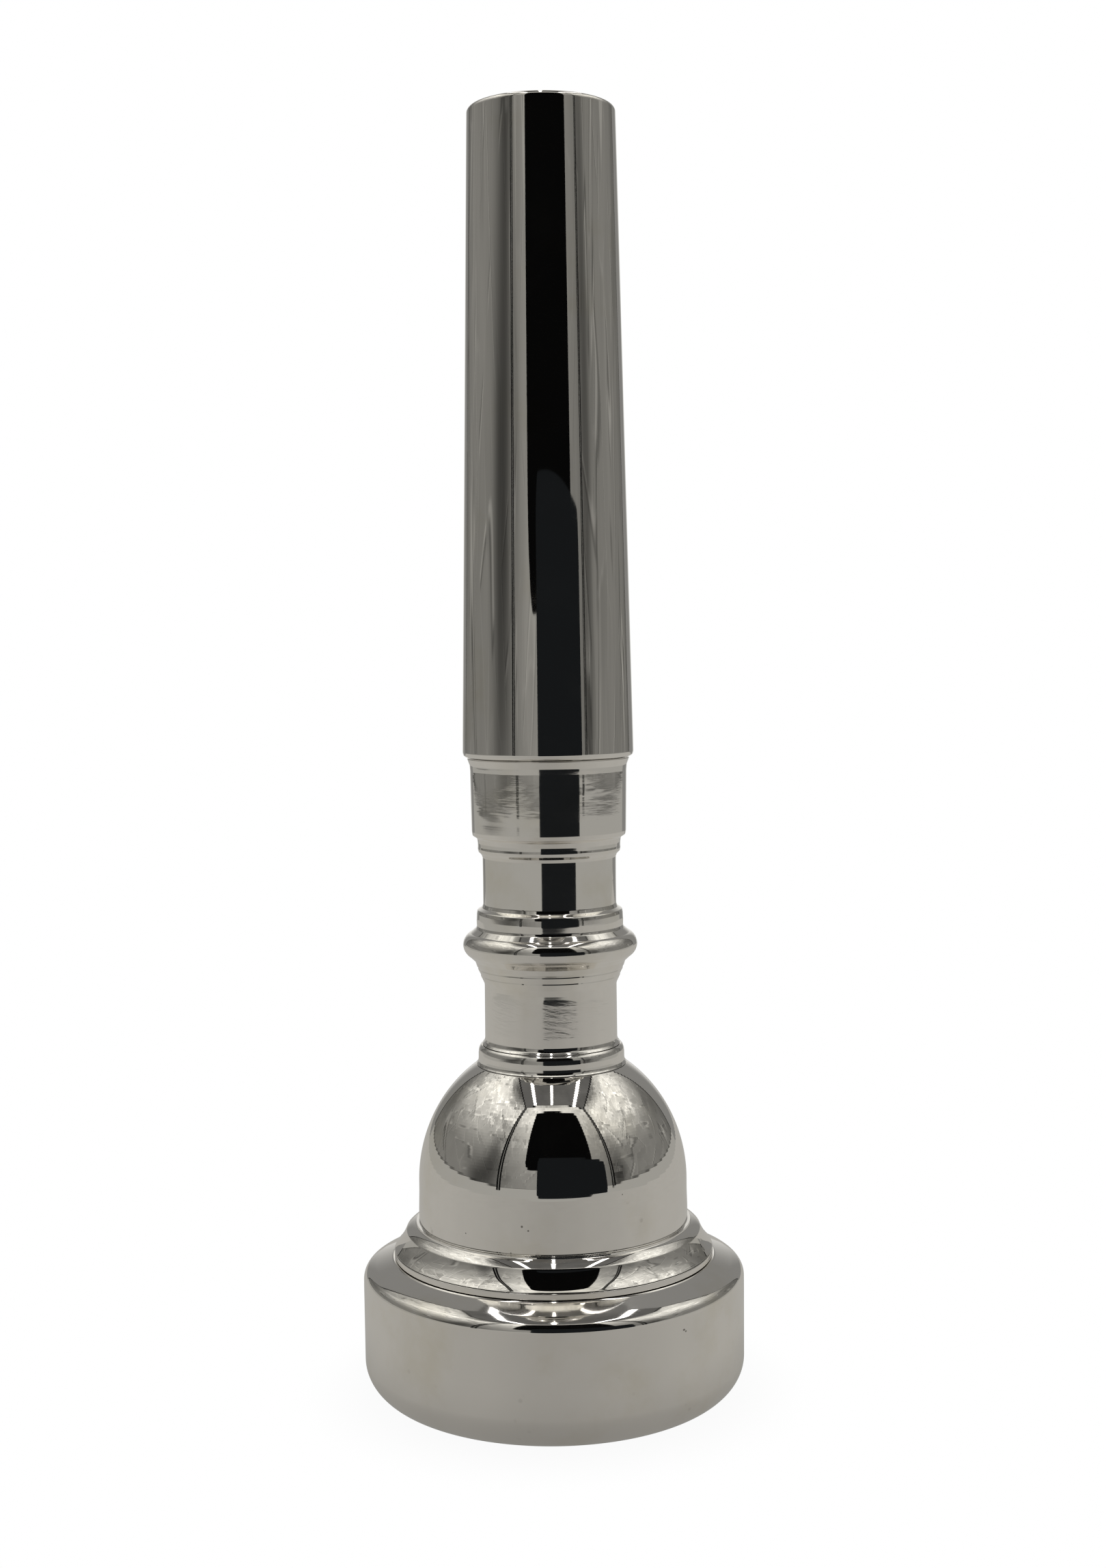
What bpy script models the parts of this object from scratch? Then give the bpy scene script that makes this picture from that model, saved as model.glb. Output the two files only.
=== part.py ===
"""Trumpet mouthpiece, standing on its rim with the shank pointing up.

Every piece is a turned ring about +Z.  The origin is the centre of the
rim's contact face, so z = 0 is the plane the player's lips meet and
z = LENGTH is the end of the shank that goes into the instrument.

How it comes apart on a bench, from the bottom up:
  rim           screw-on rim, internal thread
  rim_ring      thin washer clamped between rim and cup
  cup           bowl and throat, external thread below, socket thread above
  stem_ring     small stepped ring clamped between cup and backbore
  backbore      threaded tenon, neck with its turned beads, collar, spigot
  shank_sleeve  tapered sleeve that pushes over the backbore's spigot

The threads are right-handed: turning an upper piece anticlockwise, seen
from above, lifts it by one pitch a turn.

Sizes are in mm.  A name ending in _R is a radius and one ending in _Z a
height.  Profile tables hold (radius, height) or (radius, height, fillet).
"""
import math

import bpy
import bmesh
from mathutils import Vector

MM = 0.001
SEGMENTS = 32            # facets round every piece
SHARP_ANGLE = 35         # degrees; edges that turn more are shaded sharp

# ---- overall ---------------------------------------------------------------
LENGTH = 88.0            # rim face to the end of the shank
SEAT_GAP = 0.05          # seam left between clamped faces
THROAT_R = 1.83          # bore through the cup and the start of the backbore

# ---- threads ---------------------------------------------------------------
PITCH = 1.25
ROWS_PER_PITCH = 6
THREAD_HALF_DEPTH = 0.16
MALE, FEMALE = 1, -1     # crests grow outward or inward

# Each thread has a male root radius, a female major radius and a z span.
RIM_THREAD_R = 9.45      # mean radius of the male thread
RIM_THREAD_PLAY = 0.12   # radial play
RIM_ROOT_R = RIM_THREAD_R - THREAD_HALF_DEPTH
RIM_MAJOR_R = RIM_THREAD_R + THREAD_HALF_DEPTH + RIM_THREAD_PLAY
RIM_THREAD_Z = (4.75, 8.60)

STEM_THREAD_R = 3.45
STEM_THREAD_PLAY = 0.10
STEM_ROOT_R = STEM_THREAD_R - THREAD_HALF_DEPTH
STEM_MAJOR_R = STEM_THREAD_R + THREAD_HALF_DEPTH + STEM_THREAD_PLAY
STEM_THREAD_Z = (17.80, 22.80)

# ---- metal colours, linear RGB ---------------------------------------------
BODY_COLOUR = (0.83, 0.81, 0.78)
RING_COLOUR = (0.80, 0.785, 0.755)
BACKBORE_COLOUR = (0.82, 0.80, 0.77)


# ---------------------------------------------------------------------------
# profile helpers: every profile is a closed loop of (radius, height)
# ---------------------------------------------------------------------------
def ellipse(centre_r, centre_z, half_r, half_z, start, end, steps):
    """Points on an ellipse, from start to end in degrees, both included."""
    points = []
    for i in range(steps + 1):
        angle = math.radians(start + (end - start) * i / steps)
        points.append((centre_r + half_r * math.cos(angle),
                       centre_z + half_z * math.sin(angle)))
    return points


def fillet(corner, before, after, radius):
    """Points of the arc that rounds a corner between its two neighbours."""
    corner = Vector(corner)
    side_in, side_out = Vector(before) - corner, Vector(after) - corner
    dir_in, dir_out = side_in.normalized(), side_out.normalized()
    half_angle = math.acos(max(-1.0, min(1.0, dir_in.dot(dir_out)))) / 2
    reach = radius / math.tan(half_angle)
    # stay short of the middle of either side, so that fillets never meet
    limit = 0.48 * min(side_in.length, side_out.length)
    arc_radius = radius * min(1.0, limit / reach)
    reach = min(reach, limit)
    bisector = (dir_in + dir_out).normalized()
    centre = corner + bisector * (arc_radius / math.sin(half_angle))
    first = corner + dir_in * reach - centre
    last = corner + dir_out * reach - centre
    sweep = math.atan2(first.x * last.y - first.y * last.x, first.dot(last))
    # wider turns and larger arcs get more facets, from 2 to 5
    steps = max(2, min(5, round(abs(sweep) * (1.6 + arc_radius))))
    points = []
    for i in range(steps + 1):
        angle = sweep * i / steps
        cos, sin = math.cos(angle), math.sin(angle)
        points.append((centre.x + first.x * cos - first.y * sin,
                       centre.y + first.x * sin + first.y * cos))
    return points


def rounded(table):
    """Turn a profile table into plain points, rounding the corners that ask for it."""
    points = []
    for i, entry in enumerate(table):
        if len(entry) == 2:
            points.append(entry)
        else:
            points += fillet(entry[:2], table[i - 1][:2], table[i + 1][:2], entry[2])
    return points


def thread_rows(radius, span):
    """Evenly spaced rows, at one radius, where a thread will be cut."""
    height = span[1] - span[0]
    count = round(height / PITCH * ROWS_PER_PITCH)
    return [(radius, span[0] + height * i / count) for i in range(count + 1)]


def male_profile(root, span, tip_z, end_z, chamfer, tip_relief, lead, end_relief):
    """Outside of a threaded tenon, upward from its chamfered tip to end_z.

    The reliefs are how far the plain parts lie inside the root, and lead
    is the height between the plain part at the tip and the thread.
    """
    runout = 0.25        # from the thread's upper end to the relief above it
    tip_r, end_r = root - tip_relief, root - end_relief
    return [(tip_r - chamfer, tip_z), (tip_r, tip_z + chamfer), (tip_r, span[0] - lead),
            *thread_rows(root, span),
            (end_r, span[1] + runout), (end_r, end_z)]


def female_profile(major, span, mouth_z, chamfer):
    """Inside of a threaded socket, down from its mouth to the thread's end."""
    return [(major + chamfer, mouth_z), (major, mouth_z - chamfer),
            *reversed(thread_rows(major, span))]


# ---------------------------------------------------------------------------
# making a solid from a profile
# ---------------------------------------------------------------------------
def fade(z, span):
    """1 in the middle of a thread, falling to 0 over half a pitch at its ends."""
    share = min(z - span[0], span[1] - z) / (PITCH * 0.5)
    share = max(0.0, min(1.0, share))
    return share * share * (3 - 2 * share)


def cut_thread(bm, base, span, kind):
    """Move the vertices at the base radius in or out along a helix."""
    tolerance = 1e-4
    for vert in bm.verts:
        radius = math.hypot(vert.co.x, vert.co.y) / MM
        z = vert.co.z / MM
        in_span = span[0] - tolerance < z < span[1] + tolerance
        if abs(radius - base) > tolerance or not in_span:
            continue
        phase = 2 * math.pi * z / PITCH - math.atan2(vert.co.y, vert.co.x)
        wave = (1 + kind * math.cos(phase)) / 2
        shift = kind * 2 * THREAD_HALF_DEPTH * wave * fade(z, span)
        scale = (radius + shift) / radius
        vert.co.x *= scale
        vert.co.y *= scale


def metal(name, colour, roughness):
    mat = bpy.data.materials.new(name)
    mat.use_nodes = True
    bsdf = mat.node_tree.nodes["Principled BSDF"]
    bsdf.inputs["Base Color"].default_value = (*colour, 1.0)
    bsdf.inputs["Metallic"].default_value = 1.0
    bsdf.inputs["Roughness"].default_value = roughness
    return mat


def turned(name, loop, colour, roughness, threads=()):
    """Spin a closed loop about Z, then cut its threads.

    A thread is (base radius, z span, kind); the base is the root of a MALE
    thread and the major radius of a FEMALE one.
    """
    bm = bmesh.new()
    verts = [bm.verts.new((r * MM, 0.0, z * MM)) for r, z in loop]
    edges = [bm.edges.new((verts[i], verts[(i + 1) % len(verts)]))
             for i in range(len(verts))]
    bmesh.ops.spin(bm, geom=verts + edges, cent=(0, 0, 0), axis=(0, 0, 1),
                   dvec=(0, 0, 0), angle=2 * math.pi, steps=SEGMENTS,
                   use_merge=True, use_duplicate=False)
    bmesh.ops.remove_doubles(bm, verts=bm.verts[:], dist=1e-7)
    for base, span, kind in threads:
        cut_thread(bm, base, span, kind)
    bmesh.ops.recalc_face_normals(bm, faces=bm.faces[:])
    mesh = bpy.data.meshes.new(name)
    bm.to_mesh(mesh)
    bm.free()
    mesh.shade_smooth()
    mesh.set_sharp_from_angle(angle=math.radians(SHARP_ANGLE))
    mesh.materials.append(metal(name, colour, roughness))
    bpy.context.scene.collection.objects.link(bpy.data.objects.new(name, mesh))


# ---- rim -------------------------------------------------------------------
RIM_R = 13.385           # outside radius
RIM_FACE_OUT_R = 10.42   # flat crown, outer and inner radius
RIM_FACE_IN_R = 9.95
RIM_ROUND_H = 2.6        # height of the outer rounding
BITE_R = 8.30            # inner edge radius
BITE_H = 1.25
RIM_BORE_R = 8.08        # where the rim meets the bowl
RIM_SHELF_Z = 3.55       # inner step below the cup's boss
RIM_SEAT_Z = 9.857       # top face
RIM_MOUTH_CHAMFER = 0.22

RIM_SHOULDER = [         # up and in, from the top of the straight side
    (RIM_R, 8.36), (13.29, 8.73), (13.08, 9.03, 0.5),
    (12.00, 9.54), (11.27, RIM_SEAT_Z),
]


def rim():
    loop = ellipse(RIM_FACE_OUT_R, RIM_ROUND_H, RIM_R - RIM_FACE_OUT_R, RIM_ROUND_H,
                   start=-90, end=0, steps=7)
    loop += rounded(RIM_SHOULDER)
    loop += female_profile(RIM_MAJOR_R, RIM_THREAD_Z, RIM_SEAT_Z, RIM_MOUTH_CHAMFER)
    loop += [(RIM_MAJOR_R, RIM_SHELF_Z), (RIM_BORE_R, RIM_SHELF_Z)]
    loop += ellipse(RIM_FACE_IN_R, BITE_H, RIM_FACE_IN_R - BITE_R, BITE_H,
                    start=180, end=270, steps=6)
    turned("rim", loop, BODY_COLOUR, roughness=0.06,
           threads=[(RIM_MAJOR_R, RIM_THREAD_Z, FEMALE)])


# ---- rim ring --------------------------------------------------------------
RING_R = 11.20
RING_BORE_R = 9.80
RING_Z0 = RIM_SEAT_Z + SEAT_GAP
RING_Z1 = 10.32
RING_CHAMFER = 0.04      # lower outer edge
RING_FILLET = 0.08       # upper outer edge


def rim_ring():
    loop = rounded([(RING_BORE_R, RING_Z0), (RING_R - RING_CHAMFER, RING_Z0),
                    (RING_R, RING_Z0 + RING_CHAMFER), (RING_R, RING_Z1, RING_FILLET),
                    (RING_BORE_R, RING_Z1)])
    turned("rim_ring", loop, RING_COLOUR, roughness=0.08)


# ---- cup -------------------------------------------------------------------
BOSS_Z = RIM_SHELF_Z + SEAT_GAP
FLANGE_Z = RING_Z1 + SEAT_GAP
FLANGE_R = 11.16         # the flange flares out to meet the ring
SHELF_Z = 12.12          # step at the foot of the cup's side
FOOT_R = 9.432
DOME_R = 9.392
DOME_Z = 15.156          # top of the straight side
DOME_RISE = 9.916        # vertical half-axis of the dome's ellipse
CUP_TOP_R = 5.25
BOWL_DEPTH = 9.4         # vertical half-axis of the bowl's ellipse
BOWL_END = 68            # degrees up that ellipse where the throat entry starts
THROAT_Z = 14.3
ENTRY_STEPS = 5
ENTRY_PULL = (0.15, 0.55)  # control point: out from the throat, up from the bowl
SOCKET_Z = 17.0
SOCKET_CHAMFER = 0.20

CUP_SIDE = [             # upward, from the flange to the dome
    (FLANGE_R, FLANGE_Z), (FLANGE_R, FLANGE_Z + 0.06),
    (10.83, 10.76), (10.54, 11.23), (10.32, 11.70),
    (9.62, SHELF_Z, 0.20), (FOOT_R, SHELF_Z), (FOOT_R, 13.20), (DOME_R, DOME_Z),
]


def throat_entry(bowl_end):
    """Inner points of a quadratic curve from the throat down to the bowl."""
    control = (THROAT_R + ENTRY_PULL[0], bowl_end[1] + ENTRY_PULL[1])
    points = []
    for i in range(1, ENTRY_STEPS):
        t = i / ENTRY_STEPS
        points.append(tuple((1 - t) ** 2 * start + 2 * t * (1 - t) * mid + t * t * end
                            for start, mid, end in
                            zip((THROAT_R, THROAT_Z), control, bowl_end)))
    return points


def cup():
    # outside, from the boss's lower end up to the top face
    loop = male_profile(RIM_ROOT_R, RIM_THREAD_Z, BOSS_Z, FLANGE_Z,
                        chamfer=0.15, tip_relief=0.10, lead=0.30, end_relief=0.08)
    loop += rounded(CUP_SIDE)
    dome_end = math.degrees(math.acos(CUP_TOP_R / DOME_R))
    loop += ellipse(0, DOME_Z, DOME_R, DOME_RISE, start=0, end=dome_end, steps=13)[1:]
    top_z = loop[-1][1]
    # socket for the backbore's tenon, then the throat and the bowl
    loop += female_profile(STEM_MAJOR_R, STEM_THREAD_Z, top_z, SOCKET_CHAMFER)
    loop += [(STEM_MAJOR_R, SOCKET_Z), (THROAT_R, SOCKET_Z), (THROAT_R, THROAT_Z)]
    bowl = ellipse(0, BOSS_Z, RIM_BORE_R, BOWL_DEPTH, start=0, end=BOWL_END, steps=8)
    loop += throat_entry(bowl[-1])
    loop += reversed(bowl)
    turned("cup", loop, BODY_COLOUR, roughness=0.05,
           threads=[(RIM_ROOT_R, RIM_THREAD_Z, MALE),
                    (STEM_MAJOR_R, STEM_THREAD_Z, FEMALE)])


# ---- stem ring -------------------------------------------------------------
STEM_RING_Z0 = 23.43
STEM_RING_Z1 = 24.78
STEM_RING_R = 5.085
STEM_RING_BORE_R = 3.80

STEM_RING_PROFILE = [    # lower face, side, then upper face
    (STEM_RING_BORE_R, STEM_RING_Z0),
    (STEM_RING_R + 0.14, STEM_RING_Z0),
    (STEM_RING_R + 0.075, STEM_RING_Z0 + 0.10),
    (STEM_RING_R, STEM_RING_Z0 + 0.36, 0.4),
    (STEM_RING_R, STEM_RING_Z1 - 0.55),
    (STEM_RING_R - 0.035, STEM_RING_Z1 - 0.32),
    (STEM_RING_R - 0.11, STEM_RING_Z1 - 0.12),
    (STEM_RING_R - 0.23, STEM_RING_Z1),
    (STEM_RING_BORE_R, STEM_RING_Z1),
]


def stem_ring():
    turned("stem_ring", rounded(STEM_RING_PROFILE), RING_COLOUR, roughness=0.08)


# ---- backbore --------------------------------------------------------------
TENON_Z = SOCKET_Z + SEAT_GAP
NECK_Z = STEM_RING_Z1 + SEAT_GAP
NECK_LOW_R = 4.594
COVE_R, COVE_Z = 5.22, 30.66     # upper end of the cove under the bead
BEAD_R, BEAD_Z, BEAD_ROUND = 6.04, 31.80, 0.92
BAND_TOP_Z = 34.36
NECK_HIGH_R = 4.615
COLLAR_Z = 44.75                 # top of the collar
COLLAR_LIP_R = 5.60
SPIGOT_R = 4.25
SPIGOT_Z = LENGTH - SEAT_GAP
BORE_STRAIGHT_Z = 27.0           # the bore is straight up to here
BORE_END_R = 3.85
BORE_STEPS = 8
BORE_POWER = 0.8                 # below 1, the bore widens fastest at its start

NECK_BELOW_BEAD = [
    (NECK_LOW_R + 0.24, NECK_Z),
    (NECK_LOW_R + 0.075, NECK_Z + 0.17),
    (NECK_LOW_R + 0.01, NECK_Z + 0.42, 0.3),
    (NECK_LOW_R, 29.10, 1.2),
    (COVE_R - 0.18, COVE_Z - 0.60, 0.5),
    (COVE_R, COVE_Z),
]
NECK_ABOVE_BEAD = [
    # band above the bead
    (5.14, BEAD_Z + BEAD_ROUND + 0.24), (5.03, BAND_TOP_Z, 0.14),
    # upper neck
    (NECK_HIGH_R + 0.08, BAND_TOP_Z + 0.18, 0.10),
    (NECK_HIGH_R, BAND_TOP_Z + 0.42, 0.2), (NECK_HIGH_R, 37.96, 0.12),
    # small band between neck and collar
    (4.92, 38.34, 0.12), (4.96, 39.20, 0.12),
    # collar and its lip
    (5.29, 39.50, 0.14), (5.39, COLLAR_Z - 0.50, 0.25),
    (COLLAR_LIP_R, COLLAR_Z - 0.04), (COLLAR_LIP_R - 0.04, COLLAR_Z),
]


def backbore():
    # outside, from the tenon's tip up to the spigot's end
    loop = male_profile(STEM_ROOT_R, STEM_THREAD_Z, TENON_Z, NECK_Z,
                        chamfer=0.14, tip_relief=0.08, lead=0.25, end_relief=0.06)
    loop += rounded(NECK_BELOW_BEAD)
    loop += ellipse(BEAD_R - BEAD_ROUND, BEAD_Z, BEAD_ROUND, BEAD_ROUND,
                    start=-58, end=66, steps=8)
    loop += rounded(NECK_ABOVE_BEAD)
    loop += [(SPIGOT_R, COLLAR_Z), (SPIGOT_R, LENGTH - 0.25),
             (SPIGOT_R - 0.12, SPIGOT_Z)]
    # the bore, narrowing from the spigot's end down to the throat radius
    for i in range(BORE_STEPS + 1):
        t = 1 - i / BORE_STEPS
        loop.append((THROAT_R + (BORE_END_R - THROAT_R) * t ** BORE_POWER,
                     BORE_STRAIGHT_Z + (SPIGOT_Z - BORE_STRAIGHT_Z) * t))
    loop.append((THROAT_R, TENON_Z))
    turned("backbore", loop, BACKBORE_COLOUR, roughness=0.07,
           threads=[(STEM_ROOT_R, STEM_THREAD_Z, MALE)])


# ---- shank sleeve ----------------------------------------------------------
SLEEVE_Z = COLLAR_Z + SEAT_GAP
SLEEVE_BORE_R = SPIGOT_R + 0.04  # with radial play
SLEEVE_CHAMFER = 0.25            # lower end of the bore
SHANK_R0, SHANK_Z0 = 5.880, 45.22  # widest point, where the taper starts
SHANK_R1 = 4.971                 # taper's end, before its rounding

SLEEVE_OUTSIDE = [
    (COLLAR_LIP_R + 0.02, SLEEVE_Z),
    (SHANK_R0, SHANK_Z0, 0.5),
    ((SHANK_R0 + SHANK_R1) / 2, (SHANK_Z0 + LENGTH) / 2),
    (SHANK_R1, LENGTH, 0.47),
    (SLEEVE_BORE_R, LENGTH),
]


def shank_sleeve():
    loop = rounded(SLEEVE_OUTSIDE)
    loop += [(SLEEVE_BORE_R, SLEEVE_Z + SLEEVE_CHAMFER),
             (SLEEVE_BORE_R + SLEEVE_CHAMFER, SLEEVE_Z)]
    turned("shank_sleeve", loop, BODY_COLOUR, roughness=0.04)


def main():
    for old in list(bpy.data.objects):
        bpy.data.objects.remove(old, do_unlink=True)
    for build in (rim, rim_ring, cup, stem_ring, backbore, shank_sleeve):
        build()


main()
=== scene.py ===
"""A silver-plated trumpet mouthpiece that stands on its rim.

Its axis is Z: the rim rests on the floor at z = 0 and the shank ends 88 mm up.
The front faces -Y, toward the camera, and +X is to the camera's right.
Fine turned meshes stand in for the CAD pieces, and a foil-lined light tent that
only reflections see surrounds them; its cloth and the floor sheet that the metal sees
are glowing cards with painted light and shade.  Sizes are in mm unless a name says
otherwise.
"""
import math
from functools import partial, reduce

import bpy
import numpy as np
from mathutils import Matrix, Vector


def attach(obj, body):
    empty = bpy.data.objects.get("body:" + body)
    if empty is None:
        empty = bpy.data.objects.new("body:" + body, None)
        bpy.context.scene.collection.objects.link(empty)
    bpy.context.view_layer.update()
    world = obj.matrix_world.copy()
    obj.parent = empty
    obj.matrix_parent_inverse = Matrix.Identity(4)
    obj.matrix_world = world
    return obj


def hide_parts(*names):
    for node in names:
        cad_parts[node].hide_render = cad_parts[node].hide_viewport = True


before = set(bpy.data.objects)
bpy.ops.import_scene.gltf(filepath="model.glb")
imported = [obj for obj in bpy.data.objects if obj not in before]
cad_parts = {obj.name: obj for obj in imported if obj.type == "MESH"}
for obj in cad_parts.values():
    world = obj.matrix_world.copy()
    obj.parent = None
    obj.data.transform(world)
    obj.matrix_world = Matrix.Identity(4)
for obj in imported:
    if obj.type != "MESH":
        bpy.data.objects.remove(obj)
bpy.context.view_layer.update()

MM = 0.001
DEGREES = 180.0 / math.pi

# ---------------------------------------------------------------------------
# driving sizes
# ---------------------------------------------------------------------------
SEGMENTS = 256           # round the axis
FILLET_STEP = 7.0        # degrees
SLOPE_STEP = 0.05
EDGE_HOLD = 0.03         # from a corner to the point that holds its shading
SAME_POINT = 1e-4

PITCH = 1.25
THREAD_A = 0.16          # half the thread's depth
ROWS_PER_PITCH = 16
RIM_THREAD_R, RIM_THREAD_Z = 9.45, (4.75, 8.60)
STEM_THREAD_R, STEM_THREAD_Z = 3.45, (17.80, 22.80)
# inside threads start at their major radius, outside threads at their root
RIM_MAJOR = RIM_THREAD_R + THREAD_A + 0.12
STEM_MAJOR = STEM_THREAD_R + THREAD_A + 0.10
RIM_ROOT = RIM_THREAD_R - THREAD_A
STEM_ROOT = STEM_THREAD_R - THREAD_A

RIM_R = 13.385
OUTER_ROUND_R, OUTER_ROUND_Z = 10.42, 2.6      # centre of the rim's outer rounding
INNER_ROUND_R, INNER_ROUND_Z = 9.95, 1.25      # and of its inner one
INNER_ROUND_WIDTH = 1.65
MOUTH_R, MOUTH_Z = 8.08, 3.6                   # where the bowl meets the rim
BOWL_DEPTH, BOWL_END = 9.4, 68                 # full ellipse; degrees of it used
THROAT_R, THROAT_Z = 1.83, 14.3
BODY_R, DOME_Z, DOME_H = 9.392, 15.156, 9.916  # the cup's outer dome
DOME_END_R = 5.27
TAPER_Z, TAPER_POWER, TAPER_STEPS = 27.0, 0.8, 40
TIP_BORE_R, TIP_Z = 3.85, 87.95
BOWL_BLEND_STEPS = 18


# ---------------------------------------------------------------------------
# profiles: lists of (r, z)
# ---------------------------------------------------------------------------
def arc(center_r, center_z, size_r, size_z, start, end, step):
    """Part of an ellipse; angles in degrees from straight out."""
    count = max(2, math.ceil(abs(end - start) / step))
    points = []
    for i in range(count + 1):
        angle = math.radians(start + (end - start) * i / count)
        points.append((center_r + size_r * math.cos(angle),
                       center_z + size_z * math.sin(angle)))
    return points


def rounded(points):
    """Polyline of (r, z[, fillet]) with its corners rounded finely."""
    out = []
    for i, point in enumerate(points):
        if len(point) == 2 or i in (0, len(points) - 1):
            out.append((point[0], point[1]))
            continue
        corner = Vector((point[0], point[1]))
        before = Vector(points[i - 1][:2]) - corner
        after = Vector(points[i + 1][:2]) - corner
        to_before, to_after = before.normalized(), after.normalized()
        half = math.acos(max(-1.0, min(1.0, to_before.dot(to_after)))) / 2
        if math.pi / 2 - half < 1e-3:
            out.append((point[0], point[1]))
            continue
        # the fillet may use up to almost half of each neighbouring edge
        reach = point[2] / math.tan(half)
        limit = 0.49 * min(before.length, after.length)
        radius = point[2] * min(1.0, limit / reach)
        reach = min(reach, limit)
        center = corner + (to_before + to_after).normalized() * (radius / math.sin(half))
        start = corner + to_before * reach - center
        end = corner + to_after * reach - center
        turn = math.atan2(start.x * end.y - start.y * end.x, start.dot(end))
        count = max(3, math.ceil(abs(math.degrees(turn)) / FILLET_STEP))
        for k in range(count + 1):
            cos, sin = math.cos(turn * k / count), math.sin(turn * k / count)
            out.append((center.x + start.x * cos - start.y * sin,
                        center.y + start.x * sin + start.y * cos))
    return out


def slope_run(r, z, runs):
    """Points up from (r, z) that follow (slope from, slope to, length) runs:
    0 degrees climbs straight up, 90 runs straight in."""
    points = [(r, z)]
    for first, last, length in runs:
        count = max(1, round(length / SLOPE_STEP))
        for i in range(count):
            slope = math.radians(first + (last - first) * (i + 0.5) / count)
            r -= math.sin(slope) * length / count
            z += math.cos(slope) * length / count
            points.append((r, z))
    return points


def thread_rows(radius, span):
    bottom, top = span
    count = round((top - bottom) / PITCH * ROWS_PER_PITCH)
    return [(radius, bottom + (top - bottom) * i / count) for i in range(count + 1)]


def rim_profile():
    loop = arc(OUTER_ROUND_R, OUTER_ROUND_Z, RIM_R - OUTER_ROUND_R, OUTER_ROUND_Z,
               -90, 0, step=2.5)
    loop += rounded([loop.pop(), (RIM_R, 7.80, 1.5), (13.378, 8.36)])
    loop += slope_run(13.372, 8.42, [(6, 42, 0.58), (42, 60, 0.20), (60, 66, 0.55),
                                     (66.5, 67, 1.24)])
    loop += rounded([loop.pop(), (11.29, 9.857, 0.02),
                     (RIM_MAJOR + 0.24, 9.857, 0.05), (RIM_MAJOR, 9.62, 0.04),
                     (RIM_MAJOR, RIM_THREAD_Z[1])])
    loop += reversed(thread_rows(RIM_MAJOR, RIM_THREAD_Z))
    loop += rounded([(RIM_MAJOR, RIM_THREAD_Z[0]), (RIM_MAJOR, 3.55, 0.15),
                     (MOUTH_R, 3.55, 0.04),
                     (INNER_ROUND_R - INNER_ROUND_WIDTH, INNER_ROUND_Z)])
    loop += arc(INNER_ROUND_R, INNER_ROUND_Z, INNER_ROUND_WIDTH, INNER_ROUND_Z,
                180, 270, step=3)
    return loop


def rim_ring_profile():
    return rounded([(9.80, 10.15), (9.80, 9.907, 0.03), (11.20, 9.907, 0.05),
                    (11.20, 10.33, 0.05), (9.80, 10.33, 0.03), (9.80, 10.15)])


def bowl_profile():
    """The cup's inside, from the throat down to the mouth."""
    bowl = arc(0, MOUTH_Z, MOUTH_R, BOWL_DEPTH, 0, BOWL_END, step=2.0)
    end_r, end_z = bowl[-1]
    bend_r, bend_z = 1.98, end_z + 0.55
    blend = []
    for i in range(1, BOWL_BLEND_STEPS):
        t = i / BOWL_BLEND_STEPS
        throat, bend, end = (1 - t) ** 2, 2 * t * (1 - t), t * t
        blend.append((throat * THROAT_R + bend * bend_r + end * end_r,
                      throat * THROAT_Z + bend * bend_z + end * end_z))
    return blend + bowl[::-1]


def cup_profile():
    loop = rounded([(RIM_ROOT - 0.40, MOUTH_Z), (RIM_ROOT - 0.22, MOUTH_Z, 0.04),
                    (RIM_ROOT - 0.10, 3.75, 0.04), (RIM_ROOT - 0.10, 4.45, 0.1),
                    (RIM_ROOT, RIM_THREAD_Z[0])])
    loop += thread_rows(RIM_ROOT, RIM_THREAD_Z)
    loop += rounded([(RIM_ROOT, RIM_THREAD_Z[1]), (RIM_ROOT - 0.08, 8.85, 0.1),
                     (RIM_ROOT - 0.08, 10.37, 0.08), (11.165, 10.37, 0.01),
                     (11.160, 10.39)])
    # the skirt hollows out toward the ring, then rolls over on to the shelf
    loop += slope_run(11.152, 10.40, [(43, 39, 0.37), (39, 31, 0.45), (31, 21, 0.72),
                                      (21, 44, 0.04), (44, 65, 0.80)])
    foot, shelf = loop.pop()
    loop += rounded([(foot, shelf), (foot - 0.012, shelf + 0.015, 0.01),
                     (foot - 0.025, 12.30, 0.02), (9.432, 12.335, 0.03),
                     (9.420, 12.36, 0.03), (9.432, 12.44, 0.1),
                     (9.432, 13.20, 4.0), (9.394, 14.45, 4.0), (BODY_R, DOME_Z)])
    dome_end = math.degrees(math.acos(DOME_END_R / BODY_R))
    loop += arc(0, DOME_Z, BODY_R, DOME_H, 0, dome_end, step=1.2)[1:]
    loop += rounded([loop[-1], (5.235, 23.385, 0.01), (5.02, 23.385, 0.03),
                     (STEM_MAJOR + 0.2, 23.38, 0.04), (STEM_MAJOR, 23.18, 0.04),
                     (STEM_MAJOR, STEM_THREAD_Z[1])])[1:]
    loop += reversed(thread_rows(STEM_MAJOR, STEM_THREAD_Z))
    loop += rounded([(STEM_MAJOR, STEM_THREAD_Z[0]), (STEM_MAJOR, 17.0, 0.12),
                     (THROAT_R, 17.0, 0.05), (THROAT_R, THROAT_Z)])
    return loop + bowl_profile()


def stem_ring_profile():
    return rounded([(3.80, 24.1), (3.80, 23.425, 0.05), (5.238, 23.425, 0.01),
                    (5.222, 23.455, 0.02), (5.16, 23.53, 0.10),
                    (5.105, 23.66, 0.25), (5.088, 23.85, 0.30),
                    (5.084, 24.20, 0.6), (5.05, 24.46, 0.5),
                    (4.975, 24.66, 0.25), (4.86, 24.78, 0.03),
                    (3.80, 24.78, 0.05), (3.80, 24.1)])


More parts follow.
